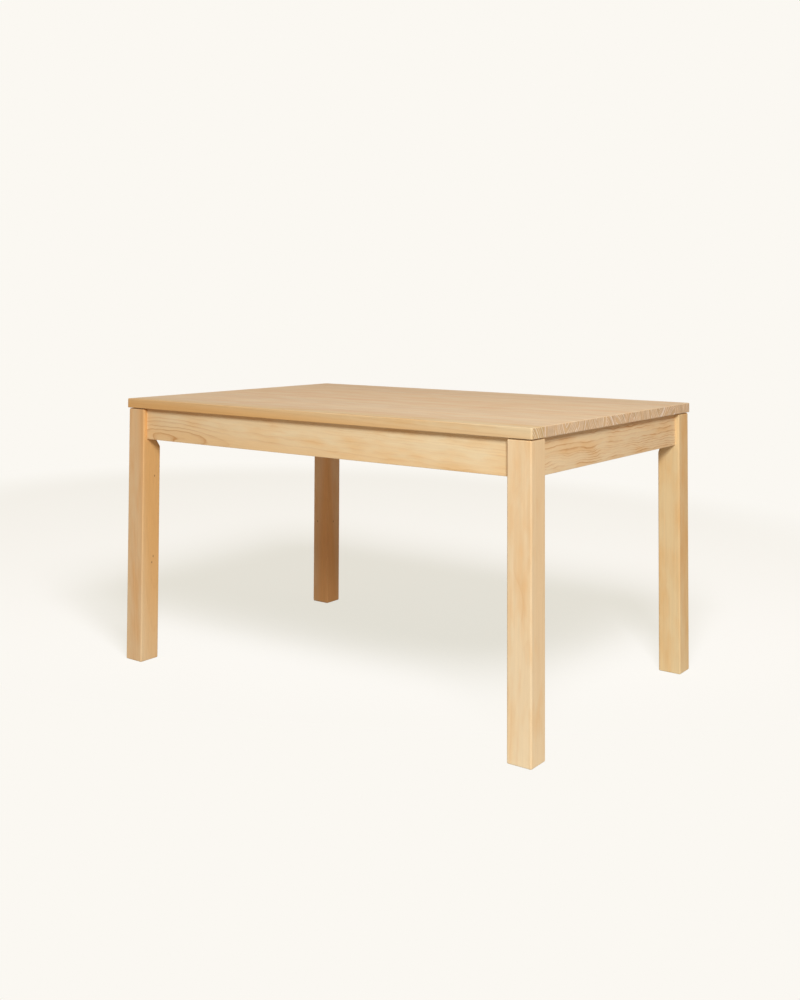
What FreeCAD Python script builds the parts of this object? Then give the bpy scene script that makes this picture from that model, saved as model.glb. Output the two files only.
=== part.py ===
"""Parsons dining table in pine: an edge-glued top on four bolted square legs and four aprons.

Millimetres, +Z up. The origin is on the floor under the middle of the top, X runs along the
table's length, Y along its width, and the front faces -Y.
"""
import FreeCAD
import Part
import math
import os

# Overall size
TABLE_LENGTH = 1372.0
TABLE_WIDTH = 914.0
TABLE_HEIGHT = 762.0

# Top, glued up from staves that run lengthwise
TOP_THICKNESS = 27.0
TOP_CORNER_RADIUS = 5.0
TOP_ARRIS_RADIUS = 2.5
STAVE_COUNT = 17

# Legs: square posts, with the inner corner cut off diagonally behind the aprons
LEG_SIDE = 65.0
LEG_INSET = 4.0
LEG_TOP_GAP = 2.0
LEG_EDGE_RADIUS = 4.0
LEG_END_RADIUS = 3.5
LEG_FLAT_CUT = 25.0
LEG_RUNOUT_LENGTH = 28.0
LEG_RUNOUT_RADIUS = 25.0

# Aprons between the legs
APRON_HEIGHT = 90.0
APRON_THICKNESS = 20.0
APRON_SETBACK = 12.0
APRON_ARRIS_RADIUS = 1.5

# Stamped steel corner brackets, hooked into saw kerfs in the aprons
BRACKET_THICKNESS = 2.0
BRACKET_HEIGHT = 62.0
BRACKET_STANDOFF = 12.0
BRACKET_WING = 32.0
BRACKET_LIP = 8.0
BRACKET_BEND_RADIUS = 0.5
KERF_PLAY = 0.6
KERF_END_PLAY = 1.0

# Hanger bolts: wood thread in the leg, machine thread through the bracket
BOLT_DIAMETER = 8.0
BOLT_ROOT_DIAMETER = 6.5
BOLT_GRIP = 45.0
BOLT_SPACING = 32.0
BOLT_TAIL = 6.0
BOLT_CHAMFER = 1.0
BOLT_HOLE_PLAY = 0.5

# Flat washer, spring lock washer and hex nut on each bolt
WASHER_DIAMETER = 18.0
WASHER_THICKNESS = 1.6
LOCK_WASHER_DIAMETER = 13.0
LOCK_WASHER_THICKNESS = 2.0
LOCK_WASHER_SPLIT = 1.2
NUT_ACROSS_FLATS = 13.0
NUT_HEIGHT = 6.5

# Screws: shank, length under the head, head
BRACKET_SCREW = {"shank": 3.5, "length": 14.0, "head": 7.0, "crown": 2.4}
BRACKET_SCREW_SPACING = 40.0
CLIP_SCREW = {"shank": 4.0, "length": 16.0, "head": 8.0, "crown": 2.6}
RAIL_SCREW = {"shank": 4.5, "length": 40.0, "head": 9.0, "crown": 3.0}
SCREW_HOLE_PLAY = 0.5

# Clips that hold the top down and let it move across its width
CLIP_WIDTH = 20.0
CLIP_THICKNESS = 2.0
CLIP_DROP = 10.0
CLIP_TAB = 9.0
CLIP_REACH = 24.0
CLIP_BEND_RADIUS = 0.5
CLIP_SCREW_REACH = 15.0
CLIP_WALL_GAP = 0.6
CLIPS_PER_LONG_APRON = 4
CLIPS_PER_SHORT_APRON = 2
GROOVE_PLAY = 1.2

# Cross rail under the middle of the top, between the long aprons
RAIL_THICKNESS = 22.0
RAIL_HEIGHT = 60.0
RAIL_ARRIS_RADIUS = 1.5
RAIL_SCREW_SEAT = 25.0
RAIL_SCREW_COUNT = 3
RAIL_SLOT_TRAVEL = 8.0
DOWEL_DIAMETER = 8.0
DOWEL_LENGTH = 32.0
DOWEL_IN_APRON = 12.0
DOWEL_SPACING = 24.0
DOWEL_CHAMFER = 1.0

# Clearances shared by all holes in wood: beside a shank or dowel, and past its end
FIT_CLEARANCE = 0.1
HOLE_END_PLAY = 1.0

# Worked out from the sizes above
UNDERSIDE = TABLE_HEIGHT - TOP_THICKNESS
APRON_BOTTOM = UNDERSIDE - APRON_HEIGHT
APRON_MIDDLE = UNDERSIDE - APRON_HEIGHT / 2
APRON_INNER = APRON_SETBACK + APRON_THICKNESS
CORNER_X = TABLE_LENGTH / 2 - LEG_INSET
CORNER_Y = TABLE_WIDTH / 2 - LEG_INSET
LEG_LENGTH = UNDERSIDE - LEG_TOP_GAP
LEG_DIAGONAL = LEG_SIDE * math.sqrt(2)
FLAT_REACH = LEG_DIAGONAL - LEG_FLAT_CUT / math.sqrt(2)
PLATE_REACH = FLAT_REACH + BRACKET_STANDOFF
BEND_AT = PLATE_REACH * math.sqrt(2) - APRON_INNER
LIP_AT = BEND_AT + BRACKET_WING
BOLT_STACK = BRACKET_STANDOFF + BRACKET_THICKNESS + WASHER_THICKNESS + LOCK_WASHER_THICKNESS + NUT_HEIGHT
RAIL_LENGTH = 2 * (CORNER_Y - APRON_INNER)
RAIL_MIDDLE = UNDERSIDE - RAIL_HEIGHT / 2

# How far a cutting shape runs past the face that it opens
OVERCUT = 1.0

UP = FreeCAD.Vector(0, 0, 1)
DIAGONAL = FreeCAD.Vector(1, 1, 0).normalize()

# Corners and sides in the order of going round the table, each a quarter turn on from the one before
CORNERS = ("front_left", "front_right", "back_right", "back_left")
SIDES = ("front", "right", "back", "left")


def corner_frame(corner):
    """Frame of a leg: origin at its outer corner on the floor, X and Y along its two outer faces."""
    x_side = 1 if "right" in corner else -1
    y_side = 1 if "back" in corner else -1
    origin = FreeCAD.Vector(x_side * CORNER_X, y_side * CORNER_Y, 0)
    return FreeCAD.Placement(origin, FreeCAD.Rotation(UP, 90 * CORNERS.index(corner)))


def side_frame(side):
    """Frame of an apron: origin under the middle of its outer face, X along it, Y into the table."""
    x_side = (side == "right") - (side == "left")
    y_side = (side == "back") - (side == "front")
    origin = FreeCAD.Vector(x_side * (CORNER_X - APRON_SETBACK), y_side * (CORNER_Y - APRON_SETBACK), 0)
    return FreeCAD.Placement(origin, FreeCAD.Rotation(UP, 90 * SIDES.index(side)))


def pointing(origin, direction):
    """Frame at origin whose Z axis points in the given direction."""
    return FreeCAD.Placement(origin, FreeCAD.Rotation(UP, direction))


def placed(shape, frame):
    """A copy of the shape, carried into the frame."""
    copy = shape.copy()
    copy.Placement = frame.multiply(copy.Placement)
    return copy


def box(x_range, y_range, z_range):
    """Box between two limits on each axis."""
    low, high = zip(x_range, y_range, z_range)
    size = [b - a for a, b in zip(low, high)]
    return Part.makeBox(*size, FreeCAD.Vector(*low))


def prism(points, sweep):
    """Solid made by sweeping a closed polygon along a vector."""
    return Part.Face(Part.makePolygon(points + points[:1])).extrude(sweep)


def turned(profile):
    """Solid turned about the Z axis from (radius, height) points."""
    points = [FreeCAD.Vector(radius, 0, height) for radius, height in profile]
    face = Part.Face(Part.makePolygon(points + points[:1]))
    return face.revolve(FreeCAD.Vector(0, 0, 0), UP, 360)


def rounded(shape, radius, chosen):
    """The shape with a fillet on every edge that the test accepts."""
    return shape.makeFillet(radius, [edge for edge in shape.Edges if chosen(edge)])


def runs_along(axis):
    """Test for straight edges parallel to an axis."""
    def test(edge):
        return edge.Curve.TypeId == "Part::GeomLine" and edge.Curve.Direction.cross(axis).Length < 1e-6
    return test


def lies_at(*heights):
    """Test for edges that lie level at one of the heights."""
    def test(edge):
        limits = edge.BoundBox
        return limits.ZLength < 1e-3 and any(abs(limits.ZMin - height) < 1e-3 for height in heights)
    return test


def stands_on(points):
    """Test for upright edges that stand on one of the (x, y) points."""
    upright = runs_along(UP)

    def test(edge):
        foot = edge.Vertexes[0].Point
        return upright(edge) and any(math.hypot(foot.x - x, foot.y - y) < 1e-3 for x, y in points)
    return test


def evenly(length, count):
    """Middles of equal shares of a length that is centred on zero."""
    return [length * ((index + 0.5) / count - 0.5) for index in range(count)]


def bolt_heights():
    """Heights of the two bolts of a leg."""
    return [APRON_MIDDLE - BOLT_SPACING / 2, APRON_MIDDLE + BOLT_SPACING / 2]


def on_bolts(reach):
    """Frames on a leg's bolt axes, at a distance along the diagonal from its outer corner."""
    foot = DIAGONAL * reach
    return [pointing(foot + UP * height, DIAGONAL) for height in bolt_heights()]


def bracket_screw_frames():
    """Frames of a bracket's four screws, at the wings' inner faces and pointing into the aprons."""
    along = (BEND_AT + LIP_AT) / 2
    face = APRON_INNER + BRACKET_THICKNESS
    frames = []
    for height in (APRON_MIDDLE - BRACKET_SCREW_SPACING / 2, APRON_MIDDLE + BRACKET_SCREW_SPACING / 2):
        frames.append(pointing(FreeCAD.Vector(along, face, height), FreeCAD.Vector(0, -1, 0)))
        frames.append(pointing(FreeCAD.Vector(face, along, height), FreeCAD.Vector(-1, 0, 0)))
    return frames


def apron_length(side):
    """Length of an apron, from leg to leg."""
    corner = CORNER_X if side in ("front", "back") else CORNER_Y
    return 2 * (corner - LEG_SIDE)


def clip_stations(side):
    """Places of the clips along an apron."""
    count = CLIPS_PER_LONG_APRON if side in ("front", "back") else CLIPS_PER_SHORT_APRON
    return evenly(apron_length(side), count)


def clip_screw_frames():
    """Frames of all clip screws, under the clips and pointing up into the top."""
    depth = APRON_THICKNESS + CLIP_WALL_GAP + CLIP_SCREW_REACH
    return [
        side_frame(side).multiply(pointing(FreeCAD.Vector(station, depth, UNDERSIDE - CLIP_THICKNESS), UP))
        for side in SIDES
        for station in clip_stations(side)
    ]


def rail_screw_frames():
    """Frames of the cross rail's screws, on their seats and pointing up into the top."""
    seat = UNDERSIDE - RAIL_SCREW_SEAT
    stations = evenly(RAIL_LENGTH, RAIL_SCREW_COUNT)
    return [pointing(FreeCAD.Vector(0, station, seat), UP) for station in stations]


def dowel_frames():
    """Frames of the dowels, at the ends of the cross rail and pointing into the aprons."""
    frames = []
    for side in (-1, 1):
        for height in (RAIL_MIDDLE - DOWEL_SPACING / 2, RAIL_MIDDLE + DOWEL_SPACING / 2):
            end = FreeCAD.Vector(0, side * RAIL_LENGTH / 2, height)
            frames.append(pointing(end, FreeCAD.Vector(0, side, 0)))
    return frames


def screw(sizes):
    """Round-head screw: the underside of its head is at zero and its point looks up."""
    shank = sizes["shank"] / 2
    head = sizes["head"] / 2
    return turned([
        (0, sizes["length"]),
        (shank, sizes["length"] - sizes["shank"]),
        (shank, 0),
        (head, 0),
        (head, -sizes["crown"] / 2),
        (shank, -sizes["crown"]),
        (0, -sizes["crown"]),
    ])


def screw_hole(sizes):
    """Hole that a screw fills in wood."""
    return Part.makeCylinder(sizes["shank"] / 2 + FIT_CLEARANCE, sizes["length"] + HOLE_END_PLAY)


def ring(outer_diameter, inner_diameter, height):
    """Flat ring standing on zero."""
    return Part.makeCylinder(outer_diameter / 2, height).cut(Part.makeCylinder(inner_diameter / 2, height))


def make_top_staves():
    """Staves of the top: one eased board, bored from below and sliced where the glue lines are."""
    half_length = TABLE_LENGTH / 2
    half_width = TABLE_WIDTH / 2
    board = box((-half_length, half_length), (-half_width, half_width), (UNDERSIDE, TABLE_HEIGHT))
    board = rounded(board, TOP_CORNER_RADIUS, runs_along(UP))
    board = rounded(board, TOP_ARRIS_RADIUS, lies_at(UNDERSIDE, TABLE_HEIGHT))
    holes = [placed(screw_hole(CLIP_SCREW), frame) for frame in clip_screw_frames()]
    holes += [placed(screw_hole(RAIL_SCREW), frame) for frame in rail_screw_frames()]
    board = board.cut(holes)
    share = TABLE_WIDTH / STAVE_COUNT
    staves = []
    for middle in evenly(TABLE_WIDTH, STAVE_COUNT):
        slab = (middle - share / 2, middle + share / 2)
        staves.append(board.common(box((-half_length, half_length), slab, (UNDERSIDE, TABLE_HEIGHT))))
    return staves


def leg_corner_cut():
    """What is cut off a leg's inner corner: the bolting flat, then a slope that rounds out to the edge."""
    slope_end = APRON_BOTTOM - LEG_RUNOUT_LENGTH
    slope = math.atan2(LEG_DIAGONAL - FLAT_REACH, LEG_RUNOUT_LENGTH)
    centre_reach = LEG_DIAGONAL - LEG_RUNOUT_RADIUS
    centre_height = slope_end - LEG_RUNOUT_RADIUS * math.tan(slope / 2)
    outside = LEG_DIAGONAL + OVERCUT
    above = LEG_LENGTH + OVERCUT

    def point(reach, height):
        return DIAGONAL * reach + UP * height

    def on_arc(angle):
        reach = centre_reach + LEG_RUNOUT_RADIUS * math.cos(angle)
        return point(reach, centre_height + LEG_RUNOUT_RADIUS * math.sin(angle))

    corners = [
        on_arc(0),
        point(outside, centre_height),
        point(outside, above),
        point(FLAT_REACH, above),
        point(FLAT_REACH, APRON_BOTTOM),
        on_arc(slope),
    ]
    round_out = Part.Arc(on_arc(slope), on_arc(slope / 2), on_arc(0)).toShape()
    outline = Part.Wire([*Part.makePolygon(corners).Edges, round_out])
    across = UP.cross(DIAGONAL) * LEG_SIDE
    face = Part.Face(outline)
    face.translate(-across)
    return face.extrude(2 * across)


def make_leg():
    """Leg in its corner frame, bored for its two hanger bolts."""
    post = box((0, LEG_SIDE), (0, LEG_SIDE), (0, LEG_LENGTH))
    post = rounded(post, LEG_EDGE_RADIUS, runs_along(UP))
    post = rounded(post, LEG_END_RADIUS, lies_at(0, LEG_LENGTH))
    depth = BOLT_GRIP + HOLE_END_PLAY
    hole = Part.makeCylinder(BOLT_ROOT_DIAMETER / 2 + FIT_CLEARANCE, depth)
    holes = [placed(hole, frame) for frame in on_bolts(FLAT_REACH - depth)]
    return post.cut([leg_corner_cut(), *holes])


def make_apron(side):
    """Apron in its side frame: eased board with a clip groove, bracket kerfs and screw holes."""
    half = apron_length(side) / 2
    board = box((-half, half), (0, APRON_THICKNESS), (APRON_BOTTOM, UNDERSIDE))
    board = rounded(board, APRON_ARRIS_RADIUS, runs_along(FreeCAD.Vector(1, 0, 0)))
    past_face = APRON_THICKNESS + OVERCUT
    groove_floor = APRON_THICKNESS - CLIP_TAB - HOLE_END_PLAY
    groove_top = UNDERSIDE - CLIP_DROP
    groove_bottom = groove_top - CLIP_THICKNESS - GROOVE_PLAY
    cuts = [box((-half, half), (groove_floor, past_face), (groove_bottom, groove_top))]
    kerf_start = half + LEG_SIDE - LIP_AT - BRACKET_THICKNESS - KERF_PLAY
    kerf_end = half + LEG_SIDE - LIP_AT + KERF_PLAY
    kerf_floor = APRON_THICKNESS - BRACKET_LIP - KERF_END_PLAY
    screw_at = half + LEG_SIDE - (BEND_AT + LIP_AT) / 2
    for end in (-1, 1):
        kerf = sorted((end * kerf_start, end * kerf_end))
        cuts.append(box(kerf, (kerf_floor, past_face), (APRON_BOTTOM, UNDERSIDE)))
        for height in (APRON_MIDDLE - BRACKET_SCREW_SPACING / 2, APRON_MIDDLE + BRACKET_SCREW_SPACING / 2):
            head_seat = FreeCAD.Vector(end * screw_at, APRON_THICKNESS + BRACKET_THICKNESS, height)
            cuts.append(placed(screw_hole(BRACKET_SCREW), pointing(head_seat, FreeCAD.Vector(0, -1, 0))))
    return board.cut(cuts)


def dowel_socket(depth):
    """Round socket for a dowel, reaching up from zero."""
    return Part.makeCylinder(DOWEL_DIAMETER / 2 + FIT_CLEARANCE, depth + HOLE_END_PLAY)


def make_aprons():
    """The four aprons in place, the long ones with sockets for the cross rail's dowels."""
    sockets = [placed(dowel_socket(DOWEL_IN_APRON), frame) for frame in dowel_frames()]
    aprons = {side: placed(make_apron(side), side_frame(side)) for side in SIDES}
    for side in ("front", "back"):
        aprons[side] = aprons[side].cut(sockets)
    return aprons


def make_bracket():
    """Corner bracket in its corner frame: a plate across the corner, two wings and two hooked lips."""
    sheet = BRACKET_THICKNESS
    leg_bend = (BEND_AT, APRON_INNER)
    leg_hook = (LIP_AT, APRON_INNER)
    leg_lip = (LIP_AT, APRON_INNER - BRACKET_LIP)
    room_lip = (LIP_AT + sheet, APRON_INNER - BRACKET_LIP)
    room_hook = (LIP_AT + sheet, APRON_INNER + sheet)
    room_bend = (BEND_AT + sheet * (math.sqrt(2) - 1), APRON_INNER + sheet)

    def both_wings(*points):
        return [*points, *((y, x) for x, y in reversed(points))]

    outline = both_wings(leg_bend, leg_hook, leg_lip, room_lip, room_hook, room_bend)
    bottom = APRON_MIDDLE - BRACKET_HEIGHT / 2
    bracket = prism([FreeCAD.Vector(x, y, bottom) for x, y in outline], UP * BRACKET_HEIGHT)
    bracket = rounded(bracket, BRACKET_BEND_RADIUS, stands_on(both_wings(leg_hook, room_bend)))
    bracket = rounded(bracket, BRACKET_BEND_RADIUS + sheet, stands_on(both_wings(leg_bend, room_hook)))
    bolt_hole = Part.makeCylinder(BOLT_DIAMETER / 2 + BOLT_HOLE_PLAY, sheet + 2 * OVERCUT)
    holes = [placed(bolt_hole, frame) for frame in on_bolts(PLATE_REACH - OVERCUT)]
    screw_bore = Part.makeCylinder(BRACKET_SCREW["shank"] / 2 + SCREW_HOLE_PLAY, sheet)
    holes += [placed(screw_bore, frame) for frame in bracket_screw_frames()]
    return bracket.cut(holes)


def make_hanger_bolt():
    """Hanger bolt along Z: its wood end is below zero, its machine end above."""
    root = BOLT_ROOT_DIAMETER / 2
    radius = BOLT_DIAMETER / 2
    tail = BOLT_STACK + BOLT_TAIL
    return turned([
        (0, -BOLT_GRIP),
        (root, root - BOLT_GRIP),
        (root, 0),
        (radius, 0),
        (radius, tail - BOLT_CHAMFER),
        (radius - BOLT_CHAMFER, tail),
        (0, tail),
    ])


def make_washer():
    """Flat washer standing on zero."""
    return ring(WASHER_DIAMETER, BOLT_DIAMETER + 2 * BOLT_HOLE_PLAY, WASHER_THICKNESS)


def make_lock_washer():
    """Spring lock washer standing on zero, split on one side."""
    washer = ring(LOCK_WASHER_DIAMETER, BOLT_DIAMETER + 2 * FIT_CLEARANCE, LOCK_WASHER_THICKNESS)
    split = box((0, LOCK_WASHER_DIAMETER), (-LOCK_WASHER_SPLIT / 2, LOCK_WASHER_SPLIT / 2),
                (0, LOCK_WASHER_THICKNESS))
    return washer.cut(split)


def make_nut():
    """Hex nut standing on zero, with its corners turned off at both ends."""
    corner = NUT_ACROSS_FLATS / math.sqrt(3)
    turns = [math.radians(60 * index) for index in range(6)]
    hexagon = [FreeCAD.Vector(corner * math.cos(turn), corner * math.sin(turn), 0) for turn in turns]
    flat = NUT_ACROSS_FLATS / 2
    bevel = (corner - flat) * math.tan(math.radians(30))
    blank = turned([
        (0, 0), (flat, 0), (corner, bevel),
        (corner, NUT_HEIGHT - bevel), (flat, NUT_HEIGHT), (0, NUT_HEIGHT),
    ])
    bore = Part.makeCylinder(BOLT_DIAMETER / 2 + FIT_CLEARANCE, NUT_HEIGHT)
    return prism(hexagon, UP * NUT_HEIGHT).common(blank).cut(bore)


def make_clip():
    """Top clip at the middle of an apron, in its side frame: tab in the groove, foot under the top."""
    sheet = CLIP_THICKNESS
    low = UNDERSIDE - CLIP_DROP
    wall = APRON_THICKNESS + CLIP_WALL_GAP
    tab_end = APRON_THICKNESS - CLIP_TAB
    foot_end = wall + CLIP_REACH
    over_tab = (wall, low)
    over_foot = (wall, UNDERSIDE)
    under_foot = (wall + sheet, UNDERSIDE - sheet)
    under_tab = (wall + sheet, low - sheet)
    profile = [
        (tab_end, low),
        over_tab,
        over_foot,
        (foot_end, UNDERSIDE),
        (foot_end, UNDERSIDE - sheet),
        under_foot,
        under_tab,
        (tab_end, low - sheet),
    ]
    points = [FreeCAD.Vector(-CLIP_WIDTH / 2, depth, height) for depth, height in profile]
    clip = prism(points, FreeCAD.Vector(CLIP_WIDTH, 0, 0))

    def bends(*corners):
        def test(edge):
            spot = edge.CenterOfMass
            return abs(spot.x) < 1e-3 and any(math.hypot(spot.y - y, spot.z - z) < 1e-3 for y, z in corners)
        return test

    clip = rounded(clip, CLIP_BEND_RADIUS, bends(over_tab, under_foot))
    clip = rounded(clip, CLIP_BEND_RADIUS + sheet, bends(over_foot, under_tab))
    bore_foot = FreeCAD.Vector(0, wall + CLIP_SCREW_REACH, UNDERSIDE - sheet)
    bore = Part.makeCylinder(CLIP_SCREW["shank"] / 2 + SCREW_HOLE_PLAY, sheet, bore_foot)
    return clip.cut(bore)


def make_clips():
    """All clips in place along the aprons."""
    clip = make_clip()
    return [
        placed(clip, side_frame(side).multiply(pointing(FreeCAD.Vector(station, 0, 0), UP)))
        for side in SIDES
        for station in clip_stations(side)
    ]


def slot(station, diameter, travel, z_range):
    """Upright hole through the cross rail, drawn out along the rail by the travel."""
    bottom, top = z_range
    ends = [FreeCAD.Vector(0, station + travel * side, bottom) for side in (-0.5, 0.5)]
    bores = [Part.makeCylinder(diameter / 2, top - bottom, end) for end in ends]
    web = box((-diameter / 2, diameter / 2), (ends[0].y, ends[1].y), z_range)
    return bores[0].fuse([bores[1], web]).removeSplitter()


def make_cross_rail():
    """Cross rail with dowel sockets in its ends and counterbored slots for its screws."""
    half = RAIL_THICKNESS / 2
    bottom = UNDERSIDE - RAIL_HEIGHT
    rail = box((-half, half), (-RAIL_LENGTH / 2, RAIL_LENGTH / 2), (bottom, UNDERSIDE))
    rail = rounded(rail, RAIL_ARRIS_RADIUS, runs_along(FreeCAD.Vector(0, 1, 0)))
    depth = DOWEL_LENGTH - DOWEL_IN_APRON
    back_up = FreeCAD.Placement(-UP * (depth + HOLE_END_PLAY), FreeCAD.Rotation())
    cuts = [placed(dowel_socket(depth), frame.multiply(back_up)) for frame in dowel_frames()]
    seat = UNDERSIDE - RAIL_SCREW_SEAT
    shank = RAIL_SCREW["shank"] + 2 * SCREW_HOLE_PLAY
    head = RAIL_SCREW["head"] + 2 * SCREW_HOLE_PLAY
    for station in evenly(RAIL_LENGTH, RAIL_SCREW_COUNT):
        cuts.append(slot(station, head, RAIL_SLOT_TRAVEL, (bottom, seat)))
        cuts.append(slot(station, shank, RAIL_SLOT_TRAVEL, (seat, UNDERSIDE)))
    return rail.cut(cuts)


def make_dowel():
    """Dowel along Z, with the joint between rail and apron at zero and both ends bevelled."""
    radius = DOWEL_DIAMETER / 2
    inner = DOWEL_IN_APRON - DOWEL_LENGTH
    return turned([
        (0, inner),
        (radius - DOWEL_CHAMFER, inner),
        (radius, inner + DOWEL_CHAMFER),
        (radius, DOWEL_IN_APRON - DOWEL_CHAMFER),
        (radius - DOWEL_CHAMFER, DOWEL_IN_APRON),
        (0, DOWEL_IN_APRON),
    ])


def at_corners(shape, frames):
    """Copies of a shape in the same frames at all four corners."""
    return [placed(shape, corner_frame(corner).multiply(frame)) for corner in CORNERS for frame in frames]


def make_table():
    """All pieces of the table, each a list of solids under its node's name."""
    table = {f"top_stave_{number:02d}": [stave] for number, stave in enumerate(make_top_staves(), 1)}
    table |= {f"{side}_apron": [apron] for side, apron in make_aprons().items()}
    leg = make_leg()
    bracket = make_bracket()
    for corner in CORNERS:
        table[f"leg_{corner}"] = [placed(leg, corner_frame(corner))]
        table[f"corner_bracket_{corner}"] = [placed(bracket, corner_frame(corner))]
    washer_at = PLATE_REACH + BRACKET_THICKNESS
    lock_washer_at = washer_at + WASHER_THICKNESS
    nut_at = lock_washer_at + LOCK_WASHER_THICKNESS
    table["hanger_bolts"] = at_corners(make_hanger_bolt(), on_bolts(FLAT_REACH))
    table["bolt_washers"] = at_corners(make_washer(), on_bolts(washer_at))
    table["bolt_lock_washers"] = at_corners(make_lock_washer(), on_bolts(lock_washer_at))
    table["bolt_nuts"] = at_corners(make_nut(), on_bolts(nut_at))
    table["bracket_screws"] = at_corners(screw(BRACKET_SCREW), bracket_screw_frames())
    table["top_clips"] = make_clips()
    table["top_clip_screws"] = [placed(screw(CLIP_SCREW), frame) for frame in clip_screw_frames()]
    table["cross_rail"] = [make_cross_rail()]
    table["cross_rail_dowels"] = [placed(make_dowel(), frame) for frame in dowel_frames()]
    table["cross_rail_screws"] = [placed(screw(RAIL_SCREW), frame) for frame in rail_screw_frames()]
    return table


def main():
    """Write each node of the table to its own file."""
    os.makedirs("parts", exist_ok=True)
    for name, pieces in make_table().items():
        solids = [solid for piece in pieces for solid in piece.Solids]
        shape = solids[0] if len(solids) == 1 else Part.makeCompound(solids)
        shape.exportStep(f"parts/{name}.step")


main()
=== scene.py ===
"""Looks of a parsons dining table in clear-lacquered pine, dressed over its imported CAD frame.

The frame is in metres, +Z up, with the table's length along X and its front facing -Y. Every board
keeps its CAD solid and gets its own cut of one procedural pine: growth rings around a pith line that
is placed for each board, so that faces, edges and end grain of a board agree with each other. The
threaded and cross-headed fasteners under the top are surfaces worked out with numpy.
"""
from __future__ import annotations

import logging
import math
from dataclasses import dataclass
from enum import Enum
from functools import partial
from typing import Any, Callable

import bpy
import numpy as np
from mathutils import Euler, Matrix, Vector


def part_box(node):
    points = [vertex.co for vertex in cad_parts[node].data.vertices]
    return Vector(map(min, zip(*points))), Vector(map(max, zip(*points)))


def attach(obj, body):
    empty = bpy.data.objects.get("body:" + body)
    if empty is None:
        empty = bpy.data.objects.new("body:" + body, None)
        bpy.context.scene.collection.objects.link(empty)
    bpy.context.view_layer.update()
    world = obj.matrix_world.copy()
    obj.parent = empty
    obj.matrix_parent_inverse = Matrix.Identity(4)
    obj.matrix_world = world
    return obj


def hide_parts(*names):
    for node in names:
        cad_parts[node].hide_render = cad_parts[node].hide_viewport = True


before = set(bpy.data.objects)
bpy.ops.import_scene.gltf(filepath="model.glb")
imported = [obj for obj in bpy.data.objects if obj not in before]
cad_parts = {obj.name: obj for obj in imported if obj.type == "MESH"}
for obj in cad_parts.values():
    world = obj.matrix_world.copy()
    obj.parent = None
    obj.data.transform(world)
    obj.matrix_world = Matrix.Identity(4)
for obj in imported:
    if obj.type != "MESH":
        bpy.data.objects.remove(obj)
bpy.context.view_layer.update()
MM = 0.001
FULL_TURN = 2 * math.pi
SHARP_EDGE = math.radians(40)
# A board's seed moves its noise by these multiples along the three axes.
SEED_STEPS = (1.0, 1.7, 2.3)

log = logging.getLogger("table")
Socket = bpy.types.NodeSocket
AddNode = Callable[..., bpy.types.Node]
Span = tuple[float, float]
Point = tuple[float, float, float]


def linear(colour: str) -> tuple[float, float, float, float]:
    """Turn an sRGB hex colour into linear RGBA.

    Args:
        colour: six hex digits after a hash sign.

    Returns:
        Red, green and blue in linear light, with an alpha of one.
    """
    channels = np.array([int(colour[i:i + 2], 16) for i in (1, 3, 5)]) / 255
    bent = np.where(channels <= 0.04045, channels / 12.92, ((channels + 0.055) / 1.055) ** 2.4)
    return (*bent.tolist(), 1.0)


def between(start: Span, stop: Span = (0.0, 1.0)) -> dict[str, float]:
    """Name the limits by which one span of values is carried onto another."""
    return {"From Min": start[0], "From Max": start[1], "To Min": stop[0], "To Max": stop[1]}


def add_node(tree: bpy.types.NodeTree, kind: str, inputs: dict[Any, Any] | None = None,
             **settings: Any) -> bpy.types.Node:
    """Add a node to a tree, set it and link it.

    Args:
        tree: the node tree that gets the node.
        kind: the node's type name.
        inputs: socket name or number to a value, or to the output socket that feeds it.
        **settings: the node's own properties.

    Returns:
        The new node.
    """
    node = tree.nodes.new(kind)
    for name, value in settings.items():
        setattr(node, name, value)
    for socket, value in (inputs or {}).items():
        if isinstance(value, Socket):
            tree.links.new(value, node.inputs[socket])
        else:
            node.inputs[socket].default_value = value
    return node


def new_material(name: str) -> tuple[bpy.types.Material, AddNode, Socket]:
    """Start a material with an empty tree and a surface output.

    Args:
        name: the material's name.

    Returns:
        The material, the function that adds nodes to it, and the socket that its surface goes into.
    """
    material = bpy.data.materials.new(name)
    material.use_nodes = True
    tree = material.node_tree
    tree.nodes.clear()
    output = tree.nodes.new("ShaderNodeOutputMaterial")
    return material, partial(add_node, tree), output.inputs["Surface"]


def point_in_mm(node: AddNode) -> Socket:
    """Give a material the point that it colours, in mm from the table's origin.

    Args:
        node: adds a node to the material.

    Returns:
        The point.
    """
    place = node("ShaderNodeTexCoord")
    return node("ShaderNodeMapping", {"Vector": place.outputs["Object"], "Scale": (MM, MM, MM)},
                vector_type="TEXTURE").outputs["Vector"]


def add_object(name: str, data: bpy.types.ID) -> bpy.types.Object:
    """Put a mesh, a lamp or a camera into the scene.

    Args:
        name: the object's name.
        data: what it shows.

    Returns:
        The object, at the origin.
    """
    item = bpy.data.objects.new(name, data)
    bpy.context.scene.collection.objects.link(item)
    return item


def dress(piece: bpy.types.Object, material: bpy.types.Material) -> None:
    """Put one material into all slots of a piece.

    Args:
        piece: the mesh object to dress.
        material: what it is made of.
    """
    if not piece.material_slots:
        piece.data.materials.append(material)
    for slot in piece.material_slots:
        slot.material = material
    log.info("dressed %s in %s", piece.name, material.name)


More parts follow.
